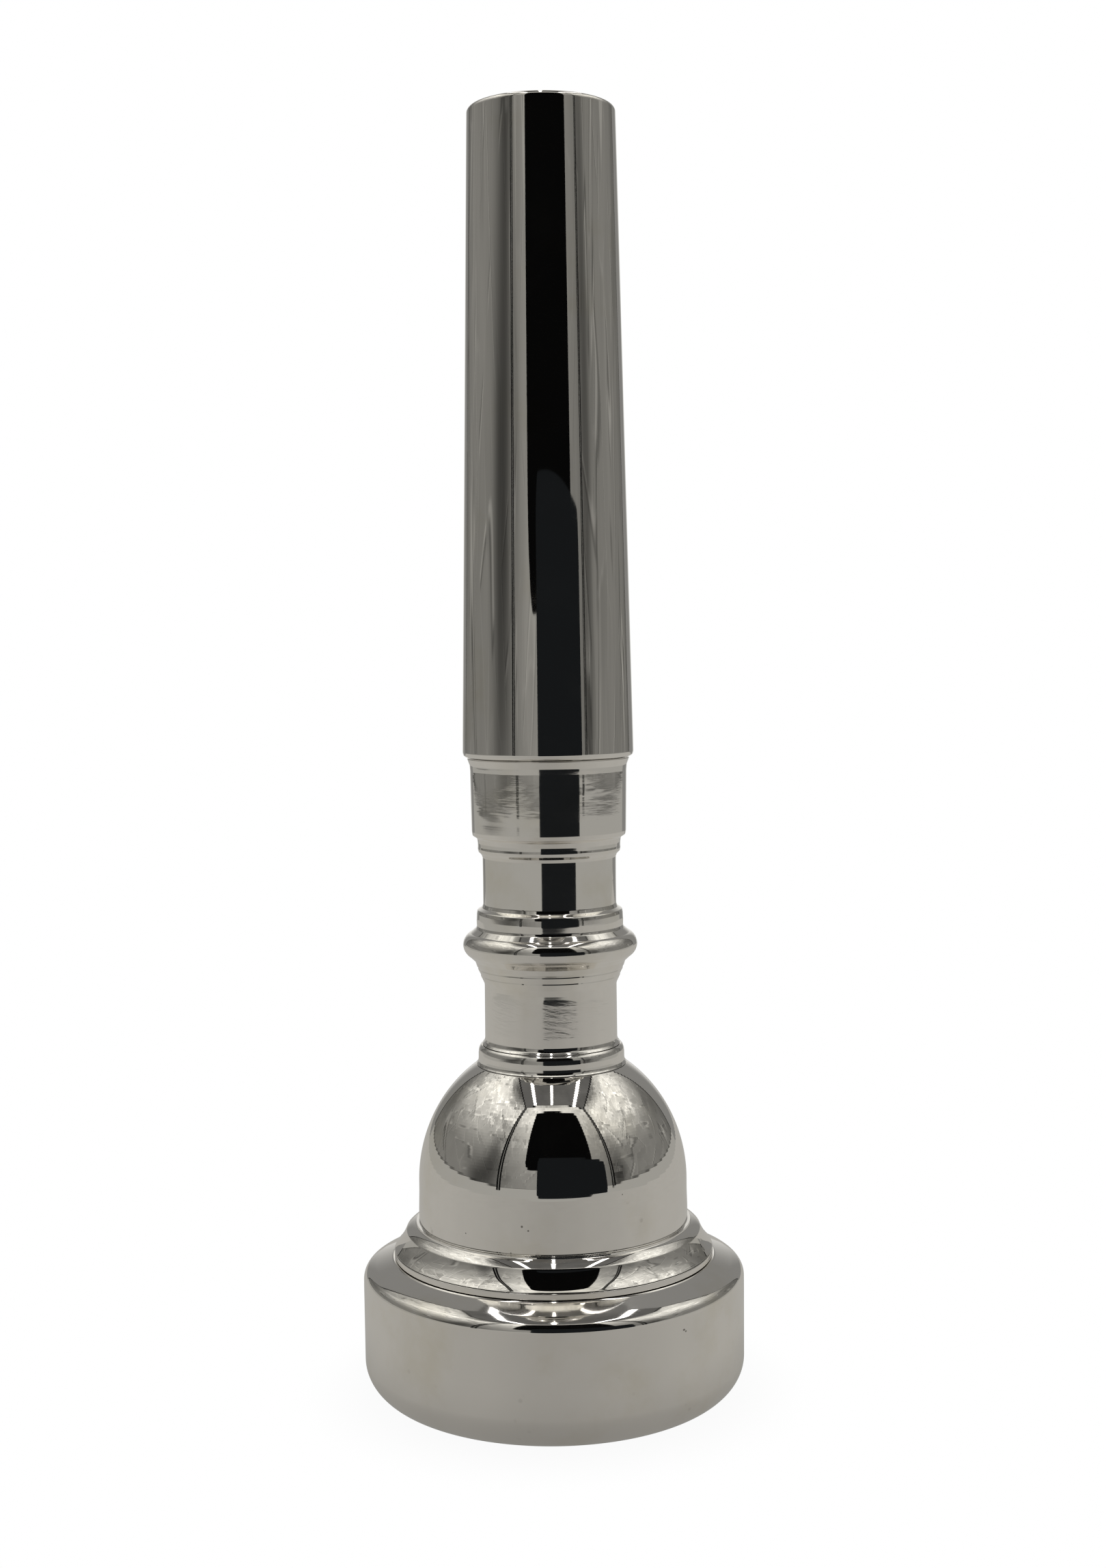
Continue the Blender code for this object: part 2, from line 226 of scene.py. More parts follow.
def backbore_profile():
    loop = rounded([(STEM_ROOT - 0.6, 17.05), (STEM_ROOT - 0.22, 17.05, 0.04),
                    (STEM_ROOT - 0.08, 17.2, 0.04), (STEM_ROOT - 0.08, 17.55, 0.1),
                    (STEM_ROOT, STEM_THREAD_Z[0])])
    loop += thread_rows(STEM_ROOT, STEM_THREAD_Z)
    # up the neck to the bead
    loop += rounded([(STEM_ROOT, STEM_THREAD_Z[1]), (STEM_ROOT - 0.06, 23.05, 0.1),
                     (STEM_ROOT - 0.06, 24.82, 0.08), (4.838, 24.82, 0.015),
                     (4.67, 24.99, 0.25), (4.612, 25.22, 0.30),
                     (4.604, 26.20, 1.0),
                     (4.590, 28.80), (4.594, 29.08, 0.6), (4.845, 29.62, 0.02),
                     (4.838, 29.70, 0.01), (5.03, 30.09, 0.02), (5.022, 30.17, 0.01),
                     (5.12, 30.34, 0.3), (5.22, 30.66, 0.16), (5.56, 30.975)])
    loop += arc(5.12, 31.80, 0.92, 0.92, -58, 66, step=4)
    # the collar, then the tube inside the shank sleeve and round its tip
    loop += rounded([(5.48, 32.655), (5.13, 32.96, 0.12), (5.073, 33.13, 0.15),
                     (5.085, 33.60, 1.2), (5.065, 34.00, 0.3), (5.02, 34.22, 0.14),
                     (4.70, 34.40, 0.06), (4.618, 34.64, 0.2), (4.612, 36.4),
                     (4.618, 37.90, 0.15), (4.70, 38.10, 0.04), (4.90, 38.30, 0.12),
                     (4.938, 38.50, 0.2), (4.925, 38.66, 0.4), (4.935, 38.90, 0.3),
                     (4.975, 39.20, 0.06), (5.10, 39.31, 0.05), (5.29, 39.43, 0.12),
                     (5.333, 39.70, 0.25), (5.387, 43.85, 0.5), (5.42, 44.25, 0.3),
                     (5.585, 44.70, 0.05), (5.54, 44.76, 0.03),
                     (4.25, 44.76, 0.06), (4.25, 87.75, 0.03), (4.15, TIP_Z, 0.03),
                     (TIP_BORE_R, TIP_Z, 0.02), (TIP_BORE_R, 87.90)])
    # the bore narrows back down to the throat
    for i in range(1, TAPER_STEPS + 1):
        t = 1 - i / TAPER_STEPS
        loop.append((THROAT_R + (TIP_BORE_R - THROAT_R) * t ** TAPER_POWER,
                     TAPER_Z + (TIP_Z - TAPER_Z) * t))
    loop += rounded([(THROAT_R, 26.5), (THROAT_R, 17.05, 0.12), (STEM_ROOT - 0.6, 17.05)])
    return loop


def shank_sleeve_profile():
    return rounded([(4.29, 60.0), (4.29, 45.05, 0.1), (4.55, 44.80, 0.05),
                    (5.60, 44.80, 0.05), (5.82, 44.91, 0.20), (5.878, 45.14, 0.30),
                    (5.860, 46.20), (5.43, 66.30), (5.000, 86.60),
                    (4.968, 88.00, 0.46), (4.29, 88.00, 0.04), (4.29, 60.0)])


# ---------------------------------------------------------------------------
# turned meshes
# ---------------------------------------------------------------------------
def distance(first, second):
    return math.hypot(second[0] - first[0], second[1] - first[1])


def without_repeats(loop):
    clean = []
    for point in loop:
        if not clean or distance(point, clean[-1]) > SAME_POINT:
            clean.append(point)
    if distance(clean[0], clean[-1]) < SAME_POINT:
        clean.pop()
    return clean


def held(loop):
    """Adds points just inside each long edge, so smooth shading stays flat there."""
    out = []
    for (r0, z0), (r1, z1) in zip(loop, loop[1:] + loop[:1]):
        out.append((r0, z0))
        length = math.hypot(r1 - r0, z1 - z0)
        if length > 4 * EDGE_HOLD:
            part = EDGE_HOLD / length
            out.append((r0 + (r1 - r0) * part, z0 + (z1 - z0) * part))
            out.append((r1 - (r1 - r0) * part, z1 - (z1 - z0) * part))
    return out


def turned(name, profile, threads):
    """A closed (r, z) profile turned about Z.  Each thread is (base radius, span,
    side): side +1 raises its ridge outward, -1 inward."""
    loop = np.array(held(without_repeats(profile)))
    area = 0.5 * np.sum(loop[:, 0] * np.roll(loop[:, 1], -1)
                        - np.roll(loop[:, 0], -1) * loop[:, 1])
    if area < 0:
        loop = loop[::-1].copy()
    count = len(loop)
    angle = np.arange(SEGMENTS) * 2 * math.pi / SEGMENTS
    r = np.repeat(loop[:, 0][:, None], SEGMENTS, 1)
    z = np.repeat(loop[:, 1][:, None], SEGMENTS, 1)
    for base, (bottom, top), side in threads:
        on_thread = (np.abs(loop[:, 0] - base) < SAME_POINT) \
            & (loop[:, 1] > bottom - SAME_POINT) & (loop[:, 1] < top + SAME_POINT)
        # the ridge rises from nothing over half a pitch at each end
        ends = np.clip(np.minimum(z - bottom, top - z) / (PITCH * 0.5), 0, 1)
        fade = ends * ends * (3 - 2 * ends)
        wave = (1 + side * np.cos(2 * math.pi * z / PITCH - angle[None, :])) / 2
        r = np.where(on_thread[:, None], r + side * 2 * THREAD_A * wave * fade, r)
    points = np.stack([r * np.cos(angle), r * np.sin(angle), z], -1).reshape(-1, 3) * MM
    row = np.arange(count)[:, None]
    column = np.arange(SEGMENTS)[None, :]
    next_row, next_column = (row + 1) % count, (column + 1) % SEGMENTS
    faces = np.stack([row * SEGMENTS + column, row * SEGMENTS + next_column,
                      next_row * SEGMENTS + next_column, next_row * SEGMENTS + column],
                     -1).reshape(-1, 4)
    mesh = bpy.data.meshes.new(name)
    mesh.from_pydata(points.tolist(), [], faces.tolist())
    mesh.update()
    mesh.shade_smooth()
    mesh.set_sharp_from_angle(angle=math.radians(30))
    obj = bpy.data.objects.new(name, mesh)
    bpy.context.scene.collection.objects.link(obj)
    return obj


# ---------------------------------------------------------------------------
# shader graphs
# ---------------------------------------------------------------------------
class Graph:
    """Adds nodes to the shader of a material or world.
    A value may be a plain value or another node's output."""

    def __init__(self, owner):
        owner.use_nodes = True
        self.tree = owner.node_tree

    def feed(self, socket, value):
        if isinstance(value, bpy.types.NodeSocket):
            self.tree.links.new(value, socket)
        else:
            socket.default_value = value

    def node(self, kind, *inputs, **settings):
        """Settings name inputs or properties; inputs fill the sockets in order."""
        node = self.tree.nodes.new(kind)
        for key, value in settings.items():
            if key in node.inputs:
                self.feed(node.inputs[key], value)
            else:
                setattr(node, key, value)
        for i, value in enumerate(inputs):
            self.feed(node.inputs[i], value)
        return node

    def math(self, operation, *values):
        return self.node("ShaderNodeMath", *values, operation=operation).outputs[0]

    def add(self, *values):
        return reduce(partial(self.math, "ADD"), values)

    def mul(self, *values):
        return reduce(partial(self.math, "MULTIPLY"), values)

    def sub(self, value, less):
        return self.math("SUBTRACT", value, less)

    def size(self, value):
        return self.math("ABSOLUTE", value)

    def length(self, x, y):
        return self.math("SQRT", self.add(self.mul(x, x), self.mul(y, y)))

    def centred(self, value, gain):
        """Swings a 0-1 value about zero."""
        return self.mul(self.sub(value, 0.5), gain)

    def map_range(self, value, start, end, kind):
        node = self.node("ShaderNodeMapRange", interpolation_type=kind)
        for name, number in (("Value", value), ("From Min", start), ("From Max", end)):
            self.feed(node.inputs[name], number)
        return node.outputs["Result"]

    def ramp(self, value, off, on):
        """Smooth step from 0 where the value is off to 1 where it is on."""
        return self.map_range(value, off, on, "SMOOTHSTEP")

    def band(self, value, start, full_from, full_to, end):
        """1 between full_from and full_to, 0 outside start and end."""
        return self.mul(self.ramp(value, off=start, on=full_from),
                        self.ramp(value, off=end, on=full_to))

    def curve(self, value, low, high, stops):
        """Scalar that follows (position, value) stops; positions run low to high."""
        place = self.map_range(value, low, high, "LINEAR")
        node = self.node("ShaderNodeValToRGB", place)
        colors = node.color_ramp
        colors.interpolation = "EASE"
        while len(colors.elements) < len(stops):
            colors.elements.new(0.5)
        for element, (position, level) in zip(colors.elements, stops):
            element.position = (position - low) / (high - low)
            element.color = (level, level, level, 1)
        return self.node("ShaderNodeRGBToBW", node.outputs["Color"]).outputs[0]

    def mix(self, data_type, factor, off, on):
        node = self.node("ShaderNodeMix", data_type=data_type)
        for name, value in (("Factor", factor), ("A", off), ("B", on)):
            self.feed(node.inputs[name], value)
        return node.outputs["Result"]

    def separate(self, vector):
        return self.node("ShaderNodeSeparateXYZ", vector).outputs

    def combine(self, x, y, z):
        return self.node("ShaderNodeCombineXYZ", x, y, z).outputs[0]

    def mapping(self, vector, **settings):
        return self.node("ShaderNodeMapping", Vector=vector, **settings).outputs[0]

    def noise(self, vector, scale, detail=2.0, roughness=0.5, distortion=0.0, output="Fac"):
        node = self.node("ShaderNodeTexNoise", Vector=vector, Scale=scale, Detail=detail,
                         Roughness=roughness, Distortion=distortion)
        return node.outputs[output]

    def tinted(self, value, green=0.985, blue=0.925):
        """Colour with red at the value, and green and blue at shares of it."""
        return self.combine(value, self.mul(value, green), self.mul(value, blue))


# ---------------------------------------------------------------------------
# silver plate
# ---------------------------------------------------------------------------
SILVER = (0.93, 0.905, 0.865)
TARNISH = (0.93, 0.915, 0.86)          # share of each silver channel that it leaves
PIT_COLOUR = (0.30, 0.27, 0.23, 1)
SPECK_COLOUR = (0.10, 0.09, 0.08, 1)
SPECK_SCALE = 0.1                      # per mm: puts the height on the unit circle's scale


class SilverPlate(Graph):
    """Polished silver; layers of marks add to its colour, height and roughness."""

    def __init__(self, name, roughness):
        self.material = bpy.data.materials.new(name)
        super().__init__(self.material)
        self.point = self.node("ShaderNodeTexCoord").outputs["Object"]
        self.x, self.y, z = self.separate(self.point)
        self.angle = self.math("ARCTAN2", self.y, self.x)
        self.radius = self.length(self.x, self.y)
        self.z_mm = self.mul(z, 1000.0)
        self.r_mm = self.mul(self.radius, 1000.0)
        self.heights = []
        self.roughness = [roughness]
        # faint warm tarnish in patches
        patches = self.noise(self.point, scale=160.0, detail=4.0, roughness=0.6)
        worn = tuple(part * share for part, share in zip(SILVER, TARNISH))
        self.colour = self.mix("RGBA", self.ramp(patches, off=0.48, on=0.78),
                               (*SILVER, 1), (*worn, 1))

    def emboss(self, value, depth):
        """Adds a height of depth mm where the value is 1."""
        self.heights.append(self.mul(value, depth * MM))

    def dull(self, value, amount):
        self.roughness.append(self.mul(value, amount))

    def stain(self, value, amount, colour):
        self.colour = self.mix("RGBA", self.mul(value, amount), self.colour, colour)

    def swept(self, angle, height, radius=None, offset=0.0):
        """Cylindrical coordinates, each scaled; the last may be a fixed offset."""
        last = offset if radius is None else self.mul(self.r_mm, radius)
        return self.combine(self.mul(self.angle, angle), self.mul(self.z_mm, height), last)

    def polish(self):
        """Shallow orange peel, fine hairlines and cloudy smudges in the gloss."""
        self.emboss(self.noise(self.point, scale=420.0), depth=0.00045)
        hair = self.noise(self.swept(angle=60.0, height=0.55, radius=1.0),
                          scale=6.0, detail=3.0, roughness=0.65)
        self.emboss(hair, depth=0.00008)
        smudge = self.noise(self.point, scale=230.0, detail=5.0, roughness=0.62,
                            distortion=0.6)
        self.dull(self.ramp(smudge, off=0.45, on=0.75), amount=0.035)

    def turning(self, strength):
        """Ring marks round the axis, coarse and fine."""
        rings = self.noise(self.swept(angle=0.8, height=9.0, radius=9.0),
                           scale=1.0, detail=4.0, roughness=0.7)
        self.emboss(rings, depth=0.0006 * strength)
        fine = self.noise(self.swept(angle=0.5, height=40.0, radius=40.0),
                          scale=1.0, roughness=0.6)
        self.emboss(fine, depth=0.00016 * strength)
        self.dull(self.ramp(rings, off=0.5, on=0.75), amount=0.03 * strength)

    def lengthwise(self, strength):
        """Hairlines along the axis."""
        lines = self.noise(self.swept(angle=24.0, height=0.035),
                           scale=2.2, detail=3.0, roughness=0.6)
        self.emboss(lines, depth=0.0006 * strength)

    def collar_marks(self):
        """Tool marks on the collar: flats that come and go, and fine lines."""
        collar = self.band(self.z_mm, start=40.3, full_from=41.0, full_to=44.0, end=44.3)
        flats = self.noise(self.swept(angle=1.5, height=1.15, offset=5.0),
                           scale=1.0, distortion=0.4)
        self.emboss(self.mul(flats, collar), depth=0.0105)
        marks = self.noise(self.swept(angle=2.2, height=6.5),
                           scale=1.0, detail=3.0, roughness=0.7)
        patches = self.noise(self.swept(angle=1.3, height=0.35, offset=3.0), scale=1.3)
        amount = self.mul(collar, self.ramp(patches, off=0.36, on=0.6))
        self.emboss(self.mul(marks, amount), depth=0.0032)
        self.dull(amount, amount=0.02)

    def neck_marks(self):
        """Short slanting strokes in a duller band round the lower neck."""
        neck = self.band(self.z_mm, start=25.5, full_from=26.0, full_to=28.1, end=28.6)
        # strokes per mm of height, leaned over by the angle
        slant = self.add(self.mul(self.z_mm, 3.6), self.mul(self.angle, 2.2))
        stroke = self.noise(self.combine(self.mul(self.angle, 3.4), slant, z=1.7),
                            scale=1.0, detail=2.5, roughness=0.6, distortion=0.3)
        self.emboss(self.mul(stroke, neck), depth=0.0110)
        self.dull(neck, amount=0.075)

    def pits(self, strength):
        """Small dark pits scattered in patches."""
        cells = self.node("ShaderNodeTexVoronoi", Vector=self.point, Scale=900.0,
                          Randomness=1.0)
        dots = self.ramp(cells.outputs["Distance"], off=0.20, on=0.08)
        patches = self.ramp(self.noise(self.point, scale=330.0), off=0.58, on=0.66)
        spot = self.mul(dots, patches)
        self.emboss(self.mul(spot, -1.0), depth=0.006 * strength)
        self.dull(spot, amount=0.25 * strength)
        self.stain(spot, 0.35 * strength, PIT_COLOUR)

    def speck(self, degrees, height, size):
        """One dark speck, degrees to the right of the front; solid to 0.4 of its size."""
        angle = math.radians(degrees)
        here = self.combine(self.math("DIVIDE", self.x, self.radius),
                            self.math("DIVIDE", self.y, self.radius),
                            self.mul(self.z_mm, SPECK_SCALE))
        center = (math.sin(angle), -math.cos(angle), height * SPECK_SCALE)
        gap = self.node("ShaderNodeVectorMath", here, center, operation="DISTANCE")
        dot = self.ramp(gap.outputs["Value"], off=size * SPECK_SCALE,
                        on=size * 0.4 * SPECK_SCALE)
        self.stain(dot, 0.75, SPECK_COLOUR)
        self.dull(dot, amount=0.3)

    def finish(self):
        surface = self.tree.nodes["Principled BSDF"].inputs
        bump = self.node("ShaderNodeBump", Strength=1.0, Distance=1.0,
                         Height=self.add(*self.heights))
        for name, value in (("Metallic", 1.0), ("Base Color", self.colour),
                            ("Normal", bump.outputs["Normal"]),
                            ("Roughness", self.add(*self.roughness))):
            self.feed(surface[name], value)
        return self.material


def silver(name, roughness, turning=0.0, lengthwise=0.0, pits=0.0, collar=False, specks=()):
    plate = SilverPlate(name, roughness)
    plate.polish()
    if turning:
        plate.turning(turning)
    if lengthwise:
        plate.lengthwise(lengthwise)
    if collar:
        plate.collar_marks()
        plate.neck_marks()
    if pits:
        plate.pits(pits)
    for degrees, height, size in specks:
        plate.speck(degrees, height, size)
    return plate.finish()


# ---------------------------------------------------------------------------
# the pieces
# ---------------------------------------------------------------------------
# degrees to the right of the front, height, radius
RIM_SPECKS = ((39.5, 7.55, 0.10), (40.2, 7.42, 0.08))
CUP_SPECKS = ((-12.8, 14.28, 0.11), (-10.2, 14.02, 0.09), (-38.5, 13.35, 0.07),
              (-17.5, 12.45, 0.07), (29.5, 16.1, 0.06))

# CAD piece, profile, threads, slot, plating
PIECES = (
    ("rim", rim_profile, [(RIM_MAJOR, RIM_THREAD_Z, -1)], "silver_rim",
     dict(name="rim_silver", turning=0.35, pits=0.4, roughness=0.05, specks=RIM_SPECKS)),
    ("rim_ring", rim_ring_profile, [], "silver_ring",
     dict(name="ring_silver", turning=0.8, roughness=0.06)),
    ("cup", cup_profile,
     [(RIM_ROOT, RIM_THREAD_Z, 1), (STEM_MAJOR, STEM_THREAD_Z, -1)], "silver_cup",
     dict(name="cup_silver", turning=0.06, pits=0.7, roughness=0.018, specks=CUP_SPECKS)),
    ("stem_ring", stem_ring_profile, [], "silver_ring",
     dict(name="stem_ring_silver", turning=0.8, roughness=0.06)),
    ("backbore", backbore_profile, [(STEM_ROOT, STEM_THREAD_Z, 1)], "silver_backbore",
     dict(name="backbore_silver", turning=0.5, collar=True, roughness=0.05)),
    ("shank_sleeve", shank_sleeve_profile, [], "silver_shank",
     dict(name="shank_silver", lengthwise=0.22, turning=0.04, roughness=0.022)),
)
for cad_piece, profile, threads, slot, plating in PIECES:
    piece = turned(cad_piece + "_fine", profile(), threads)
    piece.data.materials.append(silver(**plating))
    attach(piece, cad_piece)
    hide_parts(cad_piece)


# ---------------------------------------------------------------------------
# stage helpers
# ---------------------------------------------------------------------------
def emitter(name):
    """A material that only glows, with its graph and emission node."""
    material = bpy.data.materials.new(name)
    graph = Graph(material)
    graph.tree.nodes.clear()
    output = graph.node("ShaderNodeOutputMaterial")
    glow = graph.node("ShaderNodeEmission")
    graph.feed(output.inputs["Surface"], glow.outputs[0])
    return material, graph, glow


def emission(name, colour, strength=1.0):
    """Glowing material; colour is (r, g, b), or a function that makes it in a graph."""
    material, graph, glow = emitter(name)
    graph.feed(glow.inputs["Strength"], strength)
    graph.feed(glow.inputs["Color"], colour(graph) if callable(colour) else (*colour, 1))
    return material


def card(name, corners, material, camera=False):
    """A flat stage panel.  On four corners the first edge is u, the second v."""
    mesh = bpy.data.meshes.new(name)
    mesh.from_pydata([tuple(c * MM for c in corner) for corner in corners], [],
                     [tuple(range(len(corners)))])
    if len(corners) == 4:
        layer = mesh.uv_layers.new(name="uv")
        for loop, place in zip(layer.data, ((0, 0), (1, 0), (1, 1), (0, 1))):
            loop.uv = place
    mesh.materials.append(material)
    obj = bpy.data.objects.new(name, mesh)
    bpy.context.scene.collection.objects.link(obj)
    obj.visible_camera = camera
    obj.visible_shadow = False
    obj.visible_diffuse = False


def plated(grey):
    """Display grey 0-255 to the emission that shows it in plated silver."""
    share = grey / 255.0
    return (share / 12.92 if share < 0.04045 else ((share + 0.055) / 1.055) ** 2.4) / 0.90


# ---------------------------------------------------------------------------
# the tent's crumpled silver cloth: painted light and shade on glowing cards
# ---------------------------------------------------------------------------
CENTRE_Z = 18.0            # the tent is laid out about this height on the axis

# flat faces between sharp folds, shaded with painted light: degrees, stretch along and
# across, cell scale, bend, fold width, face contrast (painted light and shade of the
# faces), fold brightness (painted highlight along the folds)
FACETS = ((24, 0.60, 1.40, 1.25, 0.20, 0.030, 0.50, 0.24),
          (-31, 0.55, 1.60, 2.1, 0.16, 0.045, 0.56, 0.46),
          (52, 0.65, 1.60, 3.6, 0.12, 0.070, 0.44, 0.50))
# long folds, drawn as painted highlight and painted shade: degrees, stretch along and
# across, scale, distortion
FOLDS = ((20, 0.20, 1.2, 1.5, 0.3), (-36, 0.20, 1.2, 1.8, 0.4), (68, 0.22, 1.1, 1.5, 0.3))


def view_angles(graph, geometry):
    """Azimuth and elevation in degrees of the ray that looks at the cloth:
    azimuth 0 is toward the camera, positive to the right."""
    back = graph.separate(geometry.outputs["Incoming"])
    ray_x, ray_z = (graph.mul(back[i], -1.0) for i in (0, 2))
    azimuth = graph.mul(graph.math("ARCTAN2", ray_x, back[1]), DEGREES)
    return azimuth, graph.mul(graph.math("ARCSINE", ray_z), DEGREES)


def base_light(graph, azimuth, elevation, by_elevation, by_azimuth, hollows):
    """The smooth cloth's painted light, with painted shade in its darker hollows."""
    light = graph.mul(
        graph.curve(elevation, low=0.0, high=90.0,
                    stops=[(stop, plated(grey)) for stop, grey in by_elevation]),
        graph.curve(azimuth, low=-180.0, high=180.0, stops=by_azimuth))
    for center_az, center_el, size_az, size_el, amount in hollows:
        off_az = graph.math("DIVIDE", graph.sub(azimuth, center_az), size_az)
        off_el = graph.math("DIVIDE", graph.sub(elevation, center_el), size_el)
        hole = graph.ramp(graph.length(off_az, off_el), off=1.3, on=0.15)
        light = graph.mul(light, graph.sub(1.0, graph.mul(hole, amount)))
    return light


def cloth_noise(graph, wall, shift, scale, detail=1.0, distortion=0.0,
                degrees=0, stretch=(1, 1)):
    moved = graph.mapping(wall, Location=(shift, shift * 0.7, 0),
                          Rotation=(0, 0, math.radians(degrees)))
    return graph.noise(graph.mapping(moved, Scale=(*stretch, 1)), scale=scale,
                       detail=detail, distortion=distortion)


def facets(graph, wall, shift, degrees, stretch, scale, bend):
    """Flat faces that meet in sharp folds: each face's grey of painted light and shade,
    distance to a fold.
    """
    moved = graph.mapping(wall, Location=(shift, shift * 0.6, 0),
                          Rotation=(0, 0, math.radians(degrees)))
    push = graph.noise(moved, scale=2.6, detail=1.0, roughness=0.4, output="Color")
    bent = graph.node("ShaderNodeVectorMath", push, (bend, bend, 0), moved,
                      operation="MULTIPLY_ADD").outputs[0]
    place = graph.mapping(bent, Scale=(*stretch, 1))
    edge, cell = (graph.node("ShaderNodeTexVoronoi", feature=feature,
                             voronoi_dimensions="2D", Scale=scale, Vector=place).outputs
                  for feature in ("DISTANCE_TO_EDGE", "F1"))
    pick = graph.node("ShaderNodeSeparateColor", cell["Color"]).outputs
    slope = graph.mul(graph.centred(pick[1], gain=1.6),
                      graph.centred(cell["Distance"], gain=1.0))
    return graph.add(graph.centred(pick[0], gain=0.7), slope), edge["Distance"]


def creases(graph, wall, elevation, seed, depth):
    """Factor on the cloth's painted light: painted light and shade of soft lumps, facets and
    long folds.
    """
    lumps = cloth_noise(graph, wall, seed, scale=1.5, detail=2.0, distortion=0.6)
    wave = graph.add(1.0, graph.centred(lumps, gain=0.34 * depth))
    # the cloth hangs smoother near the floor, and only high up is it finely creased
    rise = graph.add(0.35, graph.mul(graph.ramp(elevation, off=14.0, on=34.0), 0.65))
    high = graph.ramp(elevation, off=22.0, on=36.0)
    for k, (facet, amount) in enumerate(zip(FACETS, (rise, rise, high))):
        degrees, along, across, scale, bend, width, face_gain, fold_gain = facet
        face, edge = facets(graph, wall, seed + 2.9 * k, degrees, (along, across),
                            scale, bend)
        lit = graph.add(graph.mul(face, face_gain),
                        graph.mul(graph.ramp(edge, off=width, on=0.0), fold_gain))
        patches = cloth_noise(graph, wall, seed + 7.7 * k, scale=1.9)
        here = graph.ramp(patches, off=0.40 + 0.02 * k, on=0.54 + 0.02 * k)
        wave = graph.add(wave, graph.mul(lit, graph.mul(here, amount, depth)))
    # each long fold is a thin painted highlight with a line of painted shade beside it
    for k, (degrees, along, across, scale, distortion) in enumerate(FOLDS):
        field = cloth_noise(graph, wall, seed + 3.3 * k, scale=scale, degrees=degrees,
                            distortion=distortion, stretch=(along, across))
        offset = graph.sub(field, 0.5)
        line = graph.ramp(graph.size(offset), off=0.016, on=0.0)
        shade = graph.ramp(graph.size(graph.add(offset, 0.022)), off=0.018, on=0.0)
        patches = cloth_noise(graph, wall, seed + 5.1 * k, scale=2.3)
        here = graph.ramp(patches, off=0.46, on=0.56)
        lit = graph.sub(graph.mul(line, 0.50), graph.mul(shade, 0.40))
        wave = graph.add(wave, graph.mul(lit, here, depth))
    return graph.math("MAXIMUM", wave, 0.25)


def foil(graph, seed, along, by_elevation, by_azimuth, hollows, depth=1.0):
    """Painted light and shade of crumpled silver cloth on a wall that runs along axis 0 (X)
    or 1 (Y).
    """
    geometry = graph.node("ShaderNodeNewGeometry")
    azimuth, elevation = view_angles(graph, geometry)
    point = graph.separate(geometry.outputs["Position"])
    height = graph.sub(graph.mul(point[2], 1000.0), CENTRE_Z)
    light = base_light(graph, azimuth, elevation, by_elevation, by_azimuth, hollows)
    # the creases are laid out in units of 100 mm
    wall = graph.combine(graph.mul(graph.mul(point[along], 1000.0), 0.01),
                         graph.mul(height, 0.01), seed)
    light = graph.mul(light, creases(graph, wall, elevation, seed, depth))
    # the hem: a thin dark line, then the floor sheet runs up under it
    hem = graph.band(height, start=3.0, full_from=4.4, full_to=5.8, end=7.4)
    light = graph.mul(light, graph.sub(1.0, graph.mul(hem, 0.45)))
    sheet = graph.ramp(height, off=4.6, on=3.4)
    return graph.tinted(graph.mix("FLOAT", sheet, light, plated(152)))


# ---------------------------------------------------------------------------
# the tent
# ---------------------------------------------------------------------------
FRONT = 160.0                                 # from the axis to the front wall
LEFT_X, RIGHT_X = -1.025 * FRONT, 1.26 * FRONT
FRONT_Y, BACK_Y = -FRONT, 1.5 * FRONT
CEILING_H = 2.67 * FRONT                      # above the centre
TOP = CENTRE_Z + CEILING_H

# by_elevation: (degrees, display grey of the painted light); by_azimuth: (degrees, factor)
# hollows, painted shade: azimuth, elevation, half width, half height, how much light they
# take
LEFT_CLOTH = dict(
    seed=3.1, along=1,
    by_elevation=[(0, 116), (15, 118), (24, 140), (33, 172), (42, 200), (50, 226),
                  (56, 232), (60.5, 206), (64, 140), (67.5, 96), (90, 60)],
    by_azimuth=[(-180, 0.9), (-150, 0.72), (-125, 1.0), (-95, 1.0), (-75, 0.82),
                (-46, 0.72)],
    hollows=[(-56, 20, 11, 20, 0.58), (-65, 5, 14, 12, 0.66), (-140, 22, 14, 18, 0.25)])
RIGHT_CLOTH = dict(
    seed=8.4, along=1,
    by_elevation=[(0, 112), (15, 114), (22, 126), (31, 162), (38, 196), (46, 222),
                  (53, 226), (58, 190), (62.5, 124), (67, 92), (90, 60)],
    by_azimuth=[(50, 0.78), (68, 0.92), (95, 1.0), (120, 1.0), (145, 0.75), (180, 0.9)],
    hollows=[(60, 8, 10, 12, 0.50), (58, 24, 8, 14, 0.22), (133, 24, 12, 18, 0.25)])
FRONT_CLOTH = dict(
    seed=5.7, along=0, depth=0.55,
    by_elevation=[(0, 122), (12, 124), (25, 138), (35, 158), (45, 184), (52, 208),
                  (57, 226), (60, 216), (63.5, 236), (66.5, 200), (69.5, 120), (90, 90)],
    by_azimuth=[(-46, 0.72), (-37, 0.92), (-26, 1.05), (0, 1.0), (36, 0.85), (44, 0.8),
                (51, 0.72)],
    hollows=[(-40, 8, 5, 5, 0.2)])


def back_cloth(graph):
    """Plain cloth with painted light, brightest in the middle."""
    geometry = graph.node("ShaderNodeNewGeometry")
    x = graph.mul(graph.separate(geometry.outputs["Position"])[0], 1000.0)
    middle = graph.ramp(graph.size(x), off=110.0, on=12.0)
    light = graph.add(plated(124), graph.mul(middle, plated(232) - plated(124)))
    return graph.tinted(light, green=0.99, blue=0.955)


def ceiling_cloth(graph):
    """Dim cloth with soft clouds; its glow is painted light."""
    place = graph.node("ShaderNodeTexCoord").outputs["UV"]
    clouds = graph.noise(place, scale=2.4, detail=4.0, distortion=0.8)
    light = graph.add(0.045, graph.mul(clouds, 0.145))
    return graph.tinted(light, green=0.985, blue=0.95)


